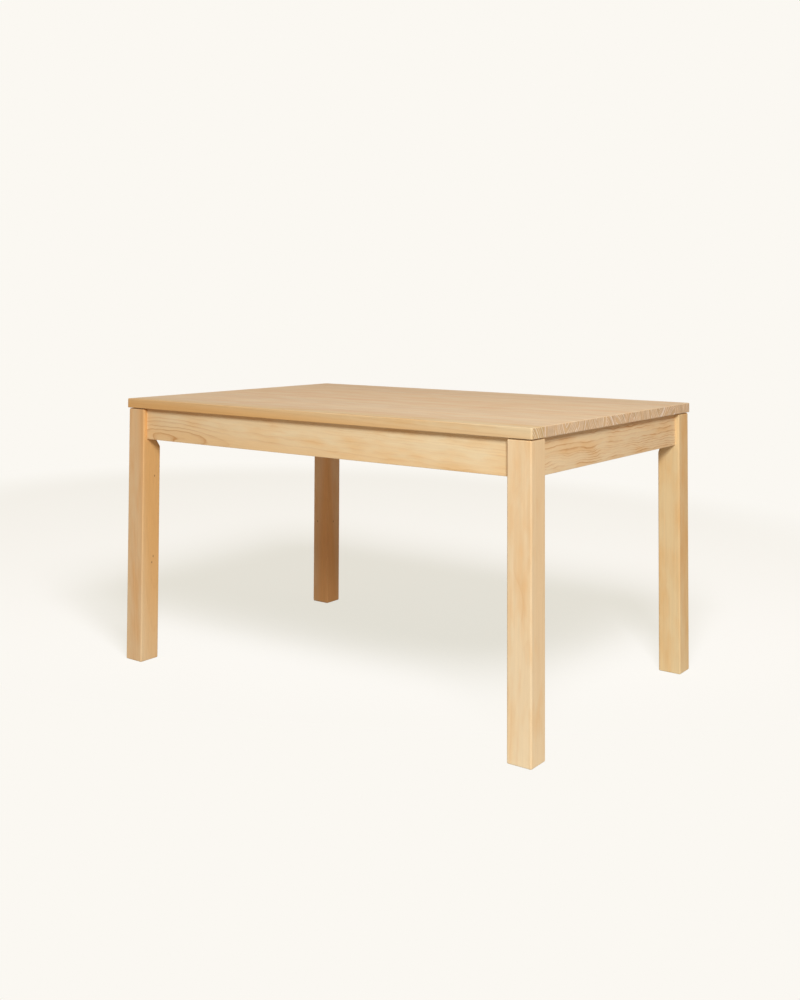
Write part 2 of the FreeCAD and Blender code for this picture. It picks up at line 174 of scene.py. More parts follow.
def add_turned(name: str, grid: np.ndarray, places: list[Matrix]) -> bpy.types.Object:
    """Make one mesh of equal turned solids from a grid of points about the Z axis.

    Rows run from the lower pole to the upper one and columns go round the axis. Neighbouring rows are
    joined by quads, the first and the last row by fans to their own middle, and all of it is carried
    into every place.

    Args:
        name: the piece's name.
        grid: points of one solid, rows by columns by three, in mm.
        places: where the copies stand, in mm.

    Returns:
        The piece, at the origin and with its points in metres.
    """
    rows, columns, _ = grid.shape
    points = np.concatenate([grid.reshape(-1, 3), grid[[0, -1]].mean(axis=1)])
    here = np.arange(rows * columns).reshape(rows, columns)
    beside = np.roll(here, -1, axis=1)
    quads = np.stack([here[:-1], beside[:-1], beside[1:], here[1:]], axis=-1).reshape(-1, 4)
    lower = np.stack([beside[0], here[0], np.full(columns, rows * columns)], axis=-1)
    upper = np.stack([here[-1], beside[-1], np.full(columns, rows * columns + 1)], axis=-1)
    fans = np.concatenate([lower, upper])
    turns = np.array(places)
    spread = np.einsum("kij,nj->kni", turns[:, :3, :3], points) + turns[:, None, :3, 3]
    shift = (np.arange(len(places)) * len(points))[:, None, None]
    faces = (quads + shift).reshape(-1, 4).tolist() + (fans + shift).reshape(-1, 3).tolist()
    mesh = bpy.data.meshes.new(name)
    mesh.from_pydata((spread.reshape(-1, 3) * MM).tolist(), [], faces)
    mesh.polygons.foreach_set("use_smooth", np.ones(len(mesh.polygons), dtype=bool))
    mesh.set_sharp_from_angle(angle=SHARP_EDGE)
    log.info("built %s: %d copies, %d faces", name, len(places), len(faces))
    return add_object(name, mesh)


def add_fasteners(node: str, grid: np.ndarray, places: list[Matrix]) -> bpy.types.Object:
    """Make threaded steel fasteners in place of their plain solids.

    Args:
        node: the CAD node that they replace.
        grid: points of one fastener, rows by columns by three, in mm.
        places: where they sit, in mm.

    Returns:
        The piece.
    """
    piece = add_turned(f"threaded_{node}", grid, places)
    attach(piece, "root")
    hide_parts(node)
    return piece


def toward(point: Vector, direction: Vector) -> Matrix:
    """Give the frame at a point whose Z axis looks in a direction."""
    return Matrix.Translation(point) @ direction.to_track_quat("Z", "X").to_matrix().to_4x4()


def stations(length: float, count: int) -> np.ndarray:
    """Share a length out evenly about its middle, half a step in from its ends."""
    return length * ((np.arange(count) + 0.5) / count - 0.5)


def thread_wave(heights: np.ndarray, turns: np.ndarray, pitch: np.ndarray) -> np.ndarray:
    """Work out how far a thread stands over its root, from 0 to 1.

    It is a triangle wave of the height in pitches less the share of a full turn, so that its crest
    climbs by one pitch each time round.

    Args:
        heights: heights of the grid's rows, in mm.
        turns: angles of the grid's columns.
        pitch: rise of the thread at each row, in mm.

    Returns:
        The wave on the grid of heights and turns.
    """
    phase = ((heights / pitch)[:, None] - turns[None, :] / FULL_TURN) % 1.0
    return 1.0 - np.abs(2.0 * phase - 1.0)


class Corner(Enum):
    """A corner of the table: its sides along X and Y, and its quarter turns from the front left."""

    FRONT_LEFT = (-1, -1, 0)
    FRONT_RIGHT = (1, -1, 1)
    BACK_RIGHT = (1, 1, 2)
    BACK_LEFT = (-1, 1, 3)

    def frame(self, across: float, deep: float) -> Matrix:
        """Give the corner's frame: origin at the leg's outer corner, X and Y along its outer faces.

        Args:
            across: that corner's distance from the middle along X, in mm.
            deep: its distance along Y, in mm.

        Returns:
            The frame.
        """
        x_side, y_side, quarters = self.value
        origin = Vector((x_side * across, y_side * deep, 0))
        return Matrix.Translation(origin) @ Matrix.Rotation(quarters * math.pi / 2, 4, "Z")


class Grain(Enum):
    """Which way the fibres of a board run, as the turn that carries X onto that axis."""

    ALONG_X = (0.0, 0.0, 0.0)
    ALONG_Y = (0.0, 0.0, math.pi / 2)
    ALONG_Z = (0.0, -math.pi / 2, 0.0)

    @property
    def axis(self) -> Vector:
        """Unit vector along the fibres."""
        return Euler(self.value).to_matrix() @ Vector((1, 0, 0))


@dataclass(frozen=True)
class Branch:
    """A hidden branch that the rings bend round.

    Attributes:
        at: offset from the board's middle, in mm.
        push: how far it pushes the rings outwards, or draws them in where it is negative, in mm.
        reach: half its length along the fibres, in mm.
        spread: half its width across them, in mm.
        crowding: how much more strongly the rings show there.
    """

    at: Point
    push: float
    reach: float = 120.0
    spread: float = 42.0
    crowding: float = 0.0


@dataclass(frozen=True)
class Cut:
    """How one board was cut from its log.

    Attributes:
        node: the CAD node of the board.
        grain: which way its fibres run.
        pith: offset of the log's pith from the board's middle, in mm.
        lean: turns of the pith line away from the board's length, about the two other axes, in degrees.
        seed: shifts the bends and the years, so that no two boards are alike.
        wander: how far the log's pith strays from a straight line, in mm.
        tone: colour that the whole board is multiplied by.
        figure: how strongly its rings show on the faces, where 1 is fully late wood.
        ring_mm: usual width of a growth ring.
        ripple: how far the rings waver along the board, in mm.
        heart_mm: radius of the log's warmer heartwood.
        heart_depth: how much of the heart's colour it has, from 0 to 1.
        blotch: how warm the warmest patches are, from 0 to 1.
        branches: hidden branches that the rings bend round.
        knots: pin knots, as offsets from the board's middle in mm.
    """

    node: str
    grain: Grain
    pith: Point
    lean: Span
    seed: float
    wander: float = 3.0
    tone: str = "#FFFFF9"
    figure: float = 0.7
    ring_mm: float = 7.0
    ripple: float = 1.3
    heart_mm: float = 0.0
    heart_depth: float = 1.0
    blotch: float = 0.6
    branches: tuple[Branch, ...] = ()
    knots: tuple[Point, ...] = ()


@dataclass(frozen=True)
class LacqueredPine:
    """Planed plantation pine under clear satin lacquer.

    Wide pale rings with soft honey latewood lines, long faint streaks, a little pink in the heart and a
    low sheen: the eye sees arches on flat-cut faces, straight lines on the others, short pale ring lines
    on end grain and a few dark pin knots. Its patterns are noise whose cells have a length along the
    fibres and a width across them, in mm. Fibres and pores are drawn coarser than real ones, which are
    too fine to show in the render.

    Attributes:
        early: early wood on the long faces.
        late: late wood on the long faces, the dark edge of a ring.
        heart: heartwood, and the warmest patches.
        knot: a pin knot.
        end_early: early wood on end grain, which drank the lacquer.
        end_late: late wood on end grain, drawn as pale lines.
        wander_mm: cells of the pith's bends, the same all across the log.
        ripple_mm: cells of the rings' ripples.
        patch_mm: cells of the patches in which ring lines come and go.
        drift_mm: cells of the long warm drifts.
        streak_mm: cells of the light and dark streaks.
        fibre_mm: cells of the fibres.
        pore_mm: cells of the pores on end grain.
        year_mm: how far apart good and bad years lie.
        year_rings: how many rings they shift the count by.
        vigour: strength of the weakest and the strongest rings.
        shown: noise of a patch where the ring lines are faintest, and where they are strongest.
        faintest: share of a board's figure that is left in the faintest patches.
        warmed: drifts and patches, added, where the wood starts to warm and is warmest.
        heart_edge_mm: half the width over which heartwood gives way.
        shaded: streaks and fibres, added, at their darkest and lightest.
        shade: how much these darken and lighten the faces.
        soaked: patches and pores, added, at their thirstiest and best sealed.
        soak: how much these darken and lighten the end grain.
        soak_patch: share of the patches in that.
        crisp: late wood at which a pale ring line on end grain starts and is full.
        end_facing: how squarely a face crosses the fibres where end grain starts and is full.
        knot_mm: half the width and half the length of a pin knot.
        knot_core: share of a knot that is evenly dark.
        knot_stain: how much of the knot's colour it has there.
        relief_late: how much late wood stands up, against the fibres.
        relief_mm: height of that relief under the lacquer.
        relief_strength: how much of it shows.
        roughness: of the lacquer over hollows and over fibres.
        ior: of the lacquer.
        specular: strength of its reflection, low because satin lacquer scatters it.
    """

    early: str = "#F2E0BB"
    late: str = "#C8935A"
    heart: str = "#EDC284"
    knot: str = "#6B3F20"
    end_early: str = "#E3C494"
    end_late: str = "#FFF4E0"
    wander_mm: Span = (520.0, math.inf)
    ripple_mm: Span = (75.0, 30.0)
    patch_mm: Span = (95.0, 26.0)
    drift_mm: Span = (380.0, 45.0)
    streak_mm: Span = (260.0, 6.0)
    fibre_mm: Span = (40.0, 0.9)
    pore_mm: Span = (50.0, 1.1111)
    year_mm: float = 32.0
    year_rings: float = 3.0
    vigour: Span = (0.4, 1.0)
    shown: Span = (0.40, 0.62)
    faintest: float = 0.2
    warmed: Span = (0.80, 1.30)
    heart_edge_mm: float = 22.0
    shaded: Span = (0.6, 1.4)
    shade: Span = (0.94, 1.05)
    soaked: Span = (0.6, 1.2)
    soak: Span = (0.80, 1.14)
    soak_patch: float = 0.8
    crisp: Span = (0.08, 0.5)
    end_facing: Span = (0.80, 0.97)
    knot_mm: Span = (2.6, 5.0)
    knot_core: float = 0.3
    knot_stain: float = 0.65
    relief_late: float = 0.6
    relief_mm: float = 0.06
    relief_strength: float = 0.25
    roughness: Span = (0.54, 0.66)
    ior: float = 1.5
    specular: float = 0.22

    def material(self, cut: Cut) -> bpy.types.Material:
        """Make the pine of one board.

        Args:
            cut: the board and its place in the log.

        Returns:
            The finished material.
        """
        material, node, surface = new_material(f"lacquered_pine_{cut.node}")
        place = node("ShaderNodeTexCoord")
        board = PineBoard(self, cut, node, place.outputs["Object"])
        point = board.log_point()
        across = node("ShaderNodeVectorMath", {0: point, 1: (0, 1, 1)}, operation="MULTIPLY")
        radius = node("ShaderNodeVectorMath", {0: across.outputs[0]}, operation="LENGTH").outputs["Value"]
        bent, crowding = board.round_branches(radius)
        late = board.late_wood(bent)
        fibre = board.drawn_out(point, self.fibre_mm, 3.0).outputs["Fac"]
        patch = board.drawn_out(point, self.patch_mm, 2.0).outputs["Fac"]
        drawn = board.drawn_rings(patch, late, crowding)
        ground = board.ground_colour(point, patch, radius)
        face = board.knotted(board.face_colour(point, ground, drawn, fibre))
        ends = board.end_colour(point, patch, late)
        squareness = node("ShaderNodeVectorMath", {0: place.outputs["Normal"], 1: cut.grain.axis},
                          operation="DOT_PRODUCT")
        facing = node("ShaderNodeMath", {0: squareness.outputs["Value"]}, operation="ABSOLUTE")
        end_grain = node("ShaderNodeMapRange", {"Value": facing.outputs[0], **between(self.end_facing)})
        wood = node("ShaderNodeMix", {"Factor": end_grain.outputs["Result"], "A": face, "B": ends},
                    data_type="RGBA")
        toned = node("ShaderNodeVectorMath", {0: wood.outputs["Result"], 1: linear(cut.tone)[:3]},
                     operation="MULTIPLY")
        relief = node("ShaderNodeMath", {0: late, 1: self.relief_late, 2: fibre}, operation="MULTIPLY_ADD")
        bump = node("ShaderNodeBump", {"Strength": self.relief_strength, "Distance": self.relief_mm * MM,
                                       "Height": relief.outputs[0]})
        sheen = node("ShaderNodeMapRange", {"Value": fibre, **between((0.0, 1.0), self.roughness)})
        lacquer = node("ShaderNodeBsdfPrincipled", {
            "Base Color": toned.outputs["Vector"], "Roughness": sheen.outputs["Result"], "IOR": self.ior,
            "Specular IOR Level": self.specular, "Normal": bump.outputs["Normal"]})
        material.node_tree.links.new(lacquer.outputs["BSDF"], surface)
        return material


@dataclass(frozen=True)
class PineBoard:
    """The patterns of one board, while its pine is made.

    Attributes:
        pine: the finish.
        cut: the board and its place in the log.
        node: adds a node to the board's material.
        place: the point that is coloured, in the table's frame, in m.
    """

    pine: LacqueredPine
    cut: Cut
    node: AddNode
    place: Socket

    def spot(self, offset: Point) -> Vector:
        """Give the place, in m, of an offset in mm from the board's middle."""
        low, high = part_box(self.cut.node)
        return (low + high) / 2 + Vector(offset) * MM

    def away(self, offset: Point, spread: float, reach: float) -> Socket:
        """Tell how far the point is from a spot, as a share of an oval that lies along the fibres.

        Args:
            offset: the spot, as an offset from the board's middle in mm.
            spread: half the oval's width, in mm.
            reach: half its length, in mm.

        Returns:
            The distance, which is 1 on the oval.
        """
        size = Vector((spread,) * 3) + self.cut.grain.axis * (reach - spread)
        oval = self.node("ShaderNodeMapping", {"Vector": self.place, "Location": self.spot(offset),
                                               "Scale": size * MM}, vector_type="TEXTURE")
        away = self.node("ShaderNodeVectorMath", {0: oval.outputs["Vector"]}, operation="LENGTH")
        return away.outputs["Value"]

    def drawn_out(self, point: Socket, cell: Span, detail: float, shift: Point = (0, 0, 0)) -> bpy.types.Node:
        """Make a pattern of noise that is drawn out along the fibres.

        Args:
            point: the point in the log, in mm.
            cell: length and width of the pattern's cells, in mm.
            detail: how many finer layers it has.
            shift: where in the noise the pattern starts.

        Returns:
            The noise.
        """
        along, across = (1 / size for size in cell)
        cells = self.node("ShaderNodeVectorMath", {0: point, 1: (along, across, across), 2: shift},
                          operation="MULTIPLY_ADD")
        return self.node("ShaderNodeTexNoise", {"Vector": cells.outputs[0], "Scale": 1.0, "Detail": detail})

    def log_point(self) -> Socket:
        """Carry the point into the board's log, with X along a pith that wanders and ripples.

        Returns:
            The point in the log, in mm.
        """
        cut, node = self.cut, self.node
        lean = Euler((0.0, *map(math.radians, cut.lean))).to_matrix()
        straight = node("ShaderNodeMapping", {
            "Vector": self.place,
            "Location": self.spot(cut.pith),
            "Rotation": (Euler(cut.grain.value).to_matrix() @ lean).to_euler(),
            "Scale": (MM, MM, MM),
        }, vector_type="TEXTURE").outputs["Vector"]
        seed = tuple(cut.seed * step for step in SEED_STEPS)
        wander = self.drawn_out(straight, self.pine.wander_mm, 1.0, seed)
        strayed = node("ShaderNodeVectorMath", {
            0: wander.outputs["Color"], 1: (0, 2 * cut.wander, 2 * cut.wander),
            2: (0, -cut.wander, -cut.wander)}, operation="MULTIPLY_ADD")
        ripple = self.drawn_out(straight, self.pine.ripple_mm, 2.0, seed)
        rippled = node("ShaderNodeVectorMath", {
            0: ripple.outputs["Color"], 1: (0, 2 * cut.ripple, 2 * cut.ripple),
            2: strayed.outputs[0]}, operation="MULTIPLY_ADD")
        return node("ShaderNodeVectorMath", {0: straight, 1: rippled.outputs[0]}, operation="ADD").outputs[0]

    def round_branches(self, radius: Socket) -> tuple[Socket, Socket | float]:
        """Bend the rings smoothly round every hidden branch.

        Args:
            radius: distance from the pith, in mm.

        Returns:
            The distance with the bends, and how much the branches crowd the rings.
        """
        crowding: Socket | float = 0.0
        for branch in self.cut.branches:
            away = self.away(branch.at, branch.spread, branch.reach)
            near = self.node("ShaderNodeMapRange", {"Value": away, **between((0.0, 1.0), (1.0, 0.0))},
                             interpolation_type="SMOOTHSTEP").outputs["Result"]
            radius = self.node("ShaderNodeMath", {0: near, 1: branch.push, 2: radius},
                               operation="MULTIPLY_ADD").outputs[0]
            crowding = self.node("ShaderNodeMath", {0: near, 1: branch.crowding, 2: crowding},
                                 operation="MULTIPLY_ADD").outputs[0]
        return radius, crowding

    def late_wood(self, radius: Socket) -> Socket:
        """Tell early wood from late wood.

        The distance from the pith in ring widths, made uneven by good and bad years, is the ring that a
        point lies in. The part of it past the whole number runs through the season, from pale early wood
        to a dark late edge, and each ring is drawn with its own strength.

        Args:
            radius: distance from the pith, in mm.

        Returns:
            How much of the point is late wood, from 0 to 1.
        """
        cut, node, pine = self.cut, self.node, self.pine
        year = node("ShaderNodeMath", {0: radius, 1: 1 / pine.year_mm, 2: cut.seed}, operation="MULTIPLY_ADD")
        growth = node("ShaderNodeTexNoise", {"W": year.outputs[0], "Scale": 1.0, "Detail": 1.0},
                      noise_dimensions="1D")
        uneven = node("ShaderNodeMath", {0: growth.outputs["Fac"], 1: pine.year_rings, 2: cut.seed},
                      operation="MULTIPLY_ADD")
        rings = node("ShaderNodeMath", {0: radius, 1: 1 / cut.ring_mm, 2: uneven.outputs[0]},
                     operation="MULTIPLY_ADD")
        season = node("ShaderNodeMath", {0: rings.outputs[0]}, operation="FRACT")
        ring = node("ShaderNodeMath", {0: rings.outputs[0]}, operation="FLOOR")
        luck = node("ShaderNodeTexWhiteNoise", {"W": ring.outputs[0]}, noise_dimensions="1D")
        strength = node("ShaderNodeMapRange", {"Value": luck.outputs["Value"],
                                               **between((0.0, 1.0), pine.vigour)})
        profile = node("ShaderNodeValToRGB", {"Fac": season.outputs[0]})
        self.set_season(profile.color_ramp)
        return node("ShaderNodeMath", {0: profile.outputs["Color"], 1: strength.outputs["Result"]},
                    operation="MULTIPLY").outputs[0]

    @staticmethod
    def set_season(ramp: bpy.types.ColorRamp) -> None:
        """Set the darkness of a ring from its first pale growth to its hard late edge.

        Args:
            ramp: the ramp that runs through one ring.
        """
        ramp.interpolation = "EASE"
        stops = [(0.0, 0.15), (0.06, 0.0), (0.55, 0.06), (0.80, 0.42), (0.93, 1.0), (1.0, 0.2)]
        ramp.elements[0].position, ramp.elements[1].position = stops[0][0], stops[-1][0]
        for position, _ in stops[1:-1]:
            ramp.elements.new(position)
        for element, (_, value) in zip(ramp.elements, stops):
            element.color = (value, value, value, 1.0)

    def drawn_rings(self, patch: Socket, late: Socket, crowding: Socket | float) -> Socket:
        """Tell how dark the ring lines are on the faces: they come and go, and are strong round branches.

        Args:
            patch: the noise by which the lines come and go.
            late: how much of the point is late wood.
            crowding: how much the branches crowd the rings.

        Returns:
            The darkness of the lines, from 0 to 1.
        """
        figure = self.cut.figure
        shown = self.node("ShaderNodeMapRange", {
            "Value": patch, **between(self.pine.shown, (self.pine.faintest * figure, figure))})
        crowded = self.node("ShaderNodeMath", {0: shown.outputs["Result"], 1: crowding}, operation="ADD")
        return self.node("ShaderNodeMath", {0: late, 1: crowded.outputs[0]}, operation="MULTIPLY").outputs[0]

    def ground_colour(self, point: Socket, patch: Socket, radius: Socket) -> Socket:
        """Colour the wood between the ring lines: pale, warmer in long drifts, in patches and in the heart.

        Args:
            point: the point in the log, in mm.
            patch: the noise of the patches.
            radius: distance from the pith, in mm.

        Returns:
            The colour of the ground.
        """
        cut, node, pine = self.cut, self.node, self.pine
        drift = self.drawn_out(point, pine.drift_mm, 2.0)
        warmth = node("ShaderNodeMath", {0: drift.outputs["Fac"], 1: patch}, operation="ADD")
        blotch = node("ShaderNodeMapRange", {"Value": warmth.outputs[0],
                                             **between(pine.warmed, (0.0, cut.blotch))})
        edge = (cut.heart_mm - pine.heart_edge_mm, cut.heart_mm + pine.heart_edge_mm)
        inner = node("ShaderNodeMapRange", {"Value": radius, **between(edge, (cut.heart_depth, 0.0))},
                     interpolation_type="SMOOTHSTEP")
        warm = node("ShaderNodeMath", {0: blotch.outputs["Result"], 1: inner.outputs["Result"]},
                    operation="MAXIMUM")
        return node("ShaderNodeMix", {"Factor": warm.outputs[0], "A": linear(pine.early),
                                      "B": linear(pine.heart)}, data_type="RGBA").outputs["Result"]

    def face_colour(self, point: Socket, ground: Socket, drawn: Socket, fibre: Socket) -> Socket:
        """Colour the long faces: ring lines on the ground, lightened and darkened by streaks and fibres.

        Args:
            point: the point in the log, in mm.
            ground: colour between the ring lines.
            drawn: how dark the ring lines are.
            fibre: the fine fibre noise.

        Returns:
            The colour of the face.
        """
        node, pine = self.node, self.pine
        streak = self.drawn_out(point, pine.streak_mm, 2.0)
        ringed = node("ShaderNodeMix", {"Factor": drawn, "A": ground, "B": linear(pine.late)},
                      data_type="RGBA")
        shade = node("ShaderNodeMath", {0: streak.outputs["Fac"], 1: fibre}, operation="ADD")
        level = node("ShaderNodeMapRange", {"Value": shade.outputs[0], **between(pine.shaded, pine.shade)})
        return node("ShaderNodeVectorMath", {0: ringed.outputs["Result"], "Scale": level.outputs["Result"]},
                    operation="SCALE").outputs["Vector"]

    def end_colour(self, point: Socket, patch: Socket, late: Socket) -> Socket:
        """Colour the end grain: open early wood that drank the lacquer, pale ring lines, fine pores.

        Args:
            point: the point in the log, in mm.
            patch: the noise of thirsty and sealed patches.
            late: how much of the point is late wood.

        Returns:
            The colour of the end grain.
        """
        node, pine = self.node, self.pine
        pores = self.drawn_out(point, pine.pore_mm, 3.0)
        soaked = node("ShaderNodeMath", {0: patch, 1: pine.soak_patch, 2: pores.outputs["Fac"]},
                      operation="MULTIPLY_ADD")
        level = node("ShaderNodeMapRange", {"Value": soaked.outputs[0], **between(pine.soaked, pine.soak)})
        crisp = node("ShaderNodeMapRange", {"Value": late, **between(pine.crisp)})
        ringed = node("ShaderNodeMix", {"Factor": crisp.outputs["Result"], "A": linear(pine.end_early),
                                        "B": linear(pine.end_late)}, data_type="RGBA")
        return node("ShaderNodeVectorMath", {0: ringed.outputs["Result"], "Scale": level.outputs["Result"]},
                    operation="SCALE").outputs["Vector"]

    def knotted(self, colour: Socket) -> Socket:
        """Stain the board where a pin knot comes out, longer along the fibres than across them.

        Args:
            colour: the board's colour so far.

        Returns:
            The colour with the knots.
        """
        pine = self.pine
        fading = between((pine.knot_core, 1.0), (pine.knot_stain, 0.0))
        for knot in self.cut.knots:
            stain = self.node("ShaderNodeMapRange", {"Value": self.away(knot, *pine.knot_mm), **fading},
                              interpolation_type="SMOOTHSTEP")
            colour = self.node("ShaderNodeMix", {"Factor": stain.outputs["Result"], "A": colour,
                                                 "B": linear(pine.knot)}, data_type="RGBA").outputs["Result"]
        return colour


@dataclass(frozen=True)
class ZincPlatedSteel:
    """Cold-formed mild steel with bright zinc plate.

    The eye sees a cool grey metal with soft, slightly cloudy reflections, faint rolling lines and a trace
    of straw from the passivation.

    Attributes:
        bright: clear plate.
        cloudy: clouded plate.
        cloud_mm: size of the clouds.
        clouded: noise at which a cloud starts and is full.
        rolling_mm: length and spacing of the rolling lines.
        rolling_depth_mm: how deep they are.
        rolling_strength: how much of that shows.
        hazed: clouds and lines, added, where the plate is brightest and dullest.
        roughness: of the brightest and of the dullest plate.
    """

    bright: str = "#D3D6D8"
    cloudy: str = "#B4B5B2"
    cloud_mm: float = 7.0
    clouded: Span = (0.38, 0.64)
    rolling_mm: Span = (12.5, 0.5)
    rolling_depth_mm: float = 0.03
    rolling_strength: float = 0.15
    hazed: Span = (0.6, 1.4)
    roughness: Span = (0.26, 0.48)

    def material(self) -> bpy.types.Material:
        """Make the plated steel.

        Returns:
            The finished material.
        """
        material, node, surface = new_material("bright_zinc_plated_steel")
        point = point_in_mm(node)
        cloud = node("ShaderNodeTexNoise", {"Vector": point, "Scale": 1 / self.cloud_mm, "Detail": 3.0})
        length, spacing = self.rolling_mm
        cell = node("ShaderNodeVectorMath", {0: point, 1: (1 / length, 1 / length, 1 / spacing)},
                    operation="MULTIPLY")
        rolling = node("ShaderNodeTexNoise", {"Vector": cell.outputs[0], "Scale": 1.0, "Detail": 2.0})
        clouded = node("ShaderNodeMapRange", {"Value": cloud.outputs["Fac"], **between(self.clouded)})
        colour = node("ShaderNodeMix", {"Factor": clouded.outputs["Result"], "A": linear(self.bright),
                                        "B": linear(self.cloudy)}, data_type="RGBA")
        haze = node("ShaderNodeMath", {0: cloud.outputs["Fac"], 1: rolling.outputs["Fac"]}, operation="ADD")
        rough = node("ShaderNodeMapRange", {"Value": haze.outputs[0], **between(self.hazed, self.roughness)})
        bump = node("ShaderNodeBump", {
            "Strength": self.rolling_strength, "Distance": self.rolling_depth_mm * MM,
            "Height": rolling.outputs["Fac"]})
        metal = node("ShaderNodeBsdfPrincipled", {
            "Base Color": colour.outputs["Result"], "Metallic": 1.0, "Roughness": rough.outputs["Result"],
            "Normal": bump.outputs["Normal"]})
        material.node_tree.links.new(metal.outputs["BSDF"], surface)
        return material


@dataclass(frozen=True)
class FlutedBeech:
    """Bare beech dowel rod with pressed flutes.

    The eye sees even pinkish-tan wood with short dark flecks and fine straight flutes along the rod.

    Attributes:
        wood: the wood between the flecks.
        fleck: the flecks.
        fleck_mm: their length and width.
        flecked: noise at which a fleck starts and is full.
        flute_mm: spacing of the flutes.
        flute_depth_mm: how deep they are.
        flute_strength: how much of that shows.
        roughness: of the bare wood.
    """

    wood: str = "#CFA67A"
    fleck: str = "#A97B50"
    fleck_mm: Span = (3.5714, 0.625)
    flecked: Span = (0.50, 0.72)
    flute_mm: float = 1.3
    flute_depth_mm: float = 0.3
    flute_strength: float = 0.6
    roughness: float = 0.65

    def material(self) -> bpy.types.Material:
        """Make the beech of the dowels, whose fibres and flutes run along Y.

        Returns:
            The finished material.
        """
        material, node, surface = new_material("fluted_beech_rod")
        point = point_in_mm(node)
        along, across = (1 / size for size in self.fleck_mm)
        cell = node("ShaderNodeVectorMath", {0: point, 1: (across, along, across)}, operation="MULTIPLY")
        fleck = node("ShaderNodeTexNoise", {"Vector": cell.outputs[0], "Scale": 1.0, "Detail": 3.0})
        flecked = node("ShaderNodeMapRange", {"Value": fleck.outputs["Fac"], **between(self.flecked)})
        colour = node("ShaderNodeMix", {"Factor": flecked.outputs["Result"], "A": linear(self.wood),
                                        "B": linear(self.fleck)}, data_type="RGBA")
        flutes = node("ShaderNodeTexWave", {"Vector": point, "Scale": 1 / (self.flute_mm * math.pi)},
                      bands_direction="X")
        bump = node("ShaderNodeBump", {"Strength": self.flute_strength, "Distance": self.flute_depth_mm * MM,
                                       "Height": flutes.outputs["Fac"]})
        rod = node("ShaderNodeBsdfPrincipled", {
            "Base Color": colour.outputs["Result"], "Roughness": self.roughness,
            "Normal": bump.outputs["Normal"]})
        material.node_tree.links.new(rod.outputs["BSDF"], surface)
        return material


@dataclass(frozen=True)
class CrossHeadScrew:
    """Pan-head wood screw along Z: the underside of its head is at zero and its point looks up.

    Attributes:
        shank: diameter over the thread, in mm.
        length: length under the head, in mm.
        head: diameter of the head, in mm.
        crown: height of the head, in mm.
        pitch: rise of the thread in one turn, in mm.
        root: diameter under the thread, as a share of that over it.
        taper: length of the pointed end, in shank diameters.
        tip: thickness of its very end, as a share of the shank's.
        columns: points round the screw.
        dome_rows: rows of points on the head.
        turn_rows: rows of points in one turn of the thread.
    """

    shank: float
    length: float
    head: float
    crown: float
    pitch: float = 1.8
    root: float = 0.66
    taper: float = 1.6
    tip: float = 0.08
    columns: int = 40
    dome_rows: int = 18
    turn_rows: int = 6

    def grid(self) -> np.ndarray:
        """Work out the screw's surface.

        The head is a dome that falls by seven tenths of its height with the cube of the radius, to a
        short upright rim. A cross is pressed into it by six tenths of its height: two bars as wide as a
        seventh of the head, with arms of about a quarter of it, whose walls slope over a twentieth of it.
        The shank is a triangle thread over its root, cut down to a point over its last diameters.

        Returns:
            Points, rows by columns by three, in mm.
        """
        turns = np.linspace(0, FULL_TURN, self.columns, endpoint=False)
        dome = np.linspace(0.02, 1.0, self.dome_rows)
        rows_along = np.arange(0.0, self.length, self.pitch / self.turn_rows)
        rim = self.head / 2
        radius = np.concatenate([dome * rim, [rim, 0.99 * rim], np.full(len(rows_along), self.shank / 2)])
        height = np.concatenate([self.crown * (0.7 * dome ** 3 - 1), [-0.1 * self.crown, 0.0], rows_along])
        row = np.arange(len(radius))[:, None]
        wave = thread_wave(height, turns, np.full(len(height), self.pitch))
        taper = np.clip((self.length - height) / (self.taper * self.shank), self.tip, 1.0)
        threaded = radius[:, None] * taper[:, None] * (self.root + (1 - self.root) * wave)
        reach = np.where(row >= len(dome) + 2, threaded, radius[:, None])
        x = reach * np.cos(turns)
        y = reach * np.sin(turns)
        bar, arm, slope = self.head / 14, self.head * 0.27, self.head / 20

        def inside(offset: np.ndarray, limit: float) -> np.ndarray:
            """Tell, from 0 to 1, how far a point is inside a pair of sloping walls."""
            return np.clip(0.5 + (limit - np.abs(offset)) / slope, 0.0, 1.0)

        cross = np.maximum(inside(x, arm) * inside(y, bar), inside(y, arm) * inside(x, bar))
        z = height[:, None] + np.where(row < len(dome), 0.6 * self.crown * cross, 0.0)
        return np.stack([x, y, z], axis=-1)


